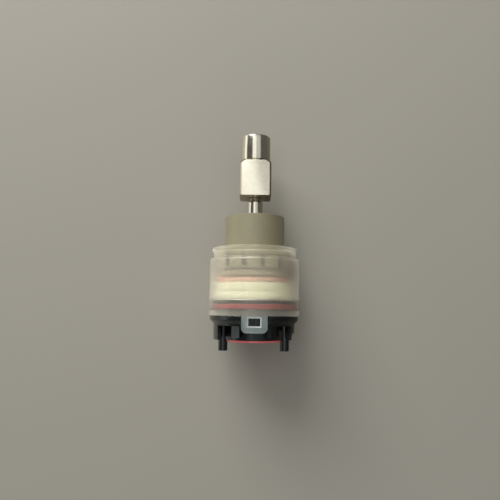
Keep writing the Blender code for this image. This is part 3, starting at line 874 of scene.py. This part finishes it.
# %% Lobes of the driver's ring
LOBE_PITCH, LOBE_R, LOBE_Z = 15.5, 1.2, 26.03
for lobe_bearing, lobe_name in [(-62, "ring_lobe_left"), (56, "ring_lobe_right")]:
    x, y = polar(LOBE_PITCH, lobe_bearing)
    start_fresh()
    bpy.ops.mesh.primitive_uv_sphere_add(segments=24, ring_count=16, radius=LOBE_R * MM,
                                         location=(x * MM, y * MM, LOBE_Z * MM))
    lobe = bpy.context.object
    lobe.scale = (1, 1, 1.02)
    bpy.ops.object.transform_apply(location=True, rotation=True, scale=True)
    lobe.name = lobe.data.name = lobe_name
    # Painted light: the lobes get the brighter copy of the red.
    hand_over(lobe, PAINTED_LIT_RED, SPINDLE, "red_rubber")

# %% [markdown]
# A square-cut red ring seals the base against the housing. It sits in a groove of the base, and its
# rounded corners let the housing slide over it.

# %% Seal round the base
SEAL_R, SEAL_BORE = span("body_seal", Y)[1], 16.4
SEAL_LOW, SEAL_TOP = span("body_seal", Z)
belt_seal = turned("belt_seal", [
    (SEAL_R, SEAL_TOP), (SEAL_R, SEAL_LOW), (SEAL_BORE, SEAL_LOW), (SEAL_BORE, SEAL_TOP)], closed=True)
round_edges(belt_seal, 0.35, 4)
hand_over(belt_seal, RED, CARTRIDGE, "red_rubber", "body_seal")

# %% [markdown]
# ## Housing
# The housing is a stepped shell of milky plastic. It is turned down to the ends of its snap tabs, and
# then the skirt is trimmed away between them, so the tabs stay part of the same wall.

# %% Housing
HOUSING_R, SKIRT_LOW = span("housing", Y)[1], 10.5
TAB_LOW, HOUSING_TOP = span("housing", Z)
TAB_W, TAB_PLATE_H, WINDOW_Z = 10.8, 9.0, 7.9
TAB_BEARINGS = (0, 180)

housing = turned("milky_shell", [
    (13.6, HOUSING_TOP), (18.9, HOUSING_TOP), (18.9, 38.7), (18.4, 38.3), (18.4, 35.3), (HOUSING_R, 35.3),
    (HOUSING_R, TAB_LOW), (18.7, TAB_LOW), (18.7, 17.1), (18.2, 17.1), (18.2, 34.2),
    (17.6, 34.7), (17.6, 38.2), (13.6, 38.2)], closed=True, segments=192)
round_edges(housing, 0.22, 3)
print("housing, mm:", 2 * HOUSING_R, "across, top at", HOUSING_TOP)

# %% [markdown]
# Two tabs reach down from the skirt and snap over teeth on the base. Each has rounded lower corners and a
# window with a shallow lip. The lip and the edge faces low on the shell are painted a paler plastic, as a
# painted highlight. What is cut from the skirt is everything but the tabs.

# %% Snap tabs
trim = turned("skirt_trim", [
    (22, SKIRT_LOW), (22, TAB_LOW - 1), (17, TAB_LOW - 1), (17, SKIRT_LOW)], closed=True, segments=192)
for bearing in TAB_BEARINGS:
    plate = box("tab_plate", (TAB_W, 7.0, TAB_PLATE_H), (0, -19.5, TAB_LOW + TAB_PLATE_H / 2))
    edit()
    bpy.ops.mesh.select_all(action="DESELECT")
    bpy.ops.object.mode_set(mode="OBJECT")
    for edge in plate.data.edges:
        a, b = (plate.data.vertices[i].co for i in edge.vertices)
        edge.select = max(a.z, b.z) < (TAB_LOW + 1) * MM and abs(a.y - b.y) > 3 * MM
    bpy.ops.object.mode_set(mode="EDIT")
    bpy.ops.mesh.select_mode(type="EDGE")
    bpy.ops.mesh.bevel(offset=2.0 * MM, segments=8)
    done(plate, "tab_plate")
    plate.rotation_euler.z = math.radians(bearing)
    bpy.ops.object.transform_apply(location=True, rotation=True, scale=True)
    cut(trim, plate)
    cut(housing, box("window_lip", (5.8, 1.0, 4.1), (0, -20.15, WINDOW_Z), bearing))
    cut(housing, box("window", (4.9, 6, 3.2), (0, -19.5, WINDOW_Z), bearing))
cut(housing, trim)
round_edges(housing, 0.36, 2, 50)
hand_over(housing, MILKY, CARTRIDGE, "milky_plastic", "housing")
housing.data.materials.append(PAINTED_EDGE_HIGHLIGHT)
# Painted highlight: the window lips and the edge faces low on the shell get the pale edge plastic.
for face in housing.data.polygons:
    out = Vector((face.center.x, face.center.y, 0)).normalized()
    on_lip = (abs(face.center.x) < 3.0 * MM and 5.7 * MM < face.center.z < 10.1 * MM
              and abs(abs(face.center.y) - 19.65 * MM) < 0.05 * MM and abs(face.normal.y) > 0.99)
    if on_lip or (face.center.z < 11.4 * MM and 0.15 < face.normal.dot(out) < 0.93):
        face.material_index = 1

# %% [markdown]
# ## Base
# The base is black plastic. Under its flange hang short skirt sections, with deep pockets between them
# where the pegs stand, and a round core that carries the ports and the red seal.

# %% Base
base = turned("black_base", [
    (18.4, 16.8), (18.4, 15.7), (16.1, 15.7), (16.1, 13.0), (17.5, 13.0), (17.5, 12.4), (16.9, 12.0),
    (16.9, 10.3), (19.5, 10.3), (19.5, 8.6), (17.9, 7.0), (17.9, 6.2), (13.0, 6.2), (13.0, 0.0)])
round_edges(base, 0.2, 2)
print("rim of the base, mm:", span("base", X)[1])

# %% [markdown]
# The skirt sections, bars and webs are ribs that the mould fills from the core. The pegs stand in the
# pockets between them and find their holes in the tap body, so they reach below everything else.

# %% Skirt sections, ribs and pegs
PEG_R, PEG_X, PEG_LOW = 2.0, 13.6, span("base", Z)[0]
for first, last, low in [(-102, -60, 0.15), (62, 102, 3.0), (138, 222, 1.0)]:
    join(base, sector("skirt", 16.2, 17.85, first, last, low, 6.8))
join(base, sector("nub", 16.3, 17.2, 63, 72, 0.15, 6.2))
join(base, box("left_bar", (3.2, 6.6, 5.4), (-7.75, -11.8, 4.0)))
join(base, box("right_bar", (1.3, 4.6, 5.4), (0, -14.4, 4.0), 22.5))
for bearing in (100, -100, 180):
    join(base, box("web", (1.5, 5.0, 5.2), (0, -14.9, 4.1), bearing))
for side in (-1, 1):
    peg = turned("peg", [(PEG_R, 7.2), (PEG_R, PEG_LOW)], segments=48)
    round_edges(peg, 0.35, 3)
    peg.location.x = side * PEG_X * MM
    bpy.ops.object.transform_apply(location=True)
    join(base, peg)
    join(base, box("disc_key", (1.3, 3.0, 3.0), (side * 17.2, 0, 17.5)))
print("pegs apart, mm:", 2 * PEG_X)

# %% [markdown]
# Behind each tab the rim is cut back, and a tooth stands in the tab's window. The lower edge of the tooth
# slopes back, so the tab rides over it when the housing is pushed on.

# %% Teeth and ports
TOOTH_RAMP = 0.7
for bearing in TAB_BEARINGS:
    cut(base, sector("tab_notch", 18.3, 23, bearing - 18.5, bearing + 18.5, 5.3, 11.7))
    tooth = box("tooth", (4.2, 2.4, 2.5), (0, -18.4, WINDOW_Z))
    edit()
    bpy.ops.mesh.select_all(action="DESELECT")
    bpy.ops.object.mode_set(mode="OBJECT")
    for vertex in tooth.data.vertices:
        vertex.select = vertex.co.z < WINDOW_Z * MM and vertex.co.y < -18.4 * MM
    bpy.ops.object.mode_set(mode="EDIT")
    bpy.ops.transform.translate(value=(0, TOOTH_RAMP * MM, 0))
    bpy.ops.object.mode_set(mode="OBJECT")
    tooth.rotation_euler.z = math.radians(bearing)
    bpy.ops.object.transform_apply(location=True, rotation=True, scale=True)
    join(base, tooth)
for bearing in PORT_BEARINGS:
    place = polar(PORT_PITCH, bearing)
    cut(base, rod("bore", PORT_R, -1, 18, place), rod("seal_seat", PORT_R + 1.3, 15.2, 18, place))
print("ports:", len(PORT_BEARINGS))

# %% [markdown]
# The red seal under the base keeps the three ports apart, so it is a ring and a hub with three webs. The
# same shape, a little larger, cuts its groove.

# %% Seal under the base


def seal_shape(name, clearance, low, high):
    """Ring with a hub and three webs, which keep the ports apart."""
    body = turned(name, [
        (12.1 + clearance, high), (12.1 + clearance, low),
        (2.2 - clearance, low), (2.2 - clearance, high)], closed=True)
    reach = 52 - 12 * clearance
    for bearing in PORT_BEARINGS:
        cut(body, sector("cell", 3.2 + clearance, 10.8 - clearance, bearing - reach, bearing + reach,
                         low - 1, high + 1))
    for side in (-1, 1):
        cut(body, rod("peg_room", 2.3 - clearance, low - 1, high + 1, (side * PEG_X, 0)))
    return body


cut(base, seal_shape("seal_groove", 0.2, -0.5, 1.2))
hand_over(base, BLACK, CARTRIDGE, "black_plastic", "base")

foot_seal = seal_shape("foot_seal", 0.0, -0.8, 0.95)
round_edges(foot_seal, 0.25, 2, 50)
# Painted light: the seal under the base gets the brighter copy of the red.
hand_over(foot_seal, PAINTED_LIT_RED, CARTRIDGE, "red_rubber", "bottom_seal")

# %% [markdown]
# The remaining pieces are small and mostly hidden, and their CAD shape is already what they look like.
# They keep it and only get the same finishes as the rest: red seals, pale bushes and bright steel.

# %% Pieces that keep their CAD shape
CARRIED = {"port_seal_inlet": RED, "port_seal_outlet_right": RED, "port_seal_outlet_left": RED,
           "thrust_washer": BUSH, "stem_bush": BUSH,
           "click_ball": STEEL, "click_spring": STEEL, "stem_clip": STEEL}
for node, material in CARRIED.items():
    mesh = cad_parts[node].data
    mesh.materials.clear()
    mesh.materials.append(material)
print("pieces that keep their CAD shape:", len(CARRIED))
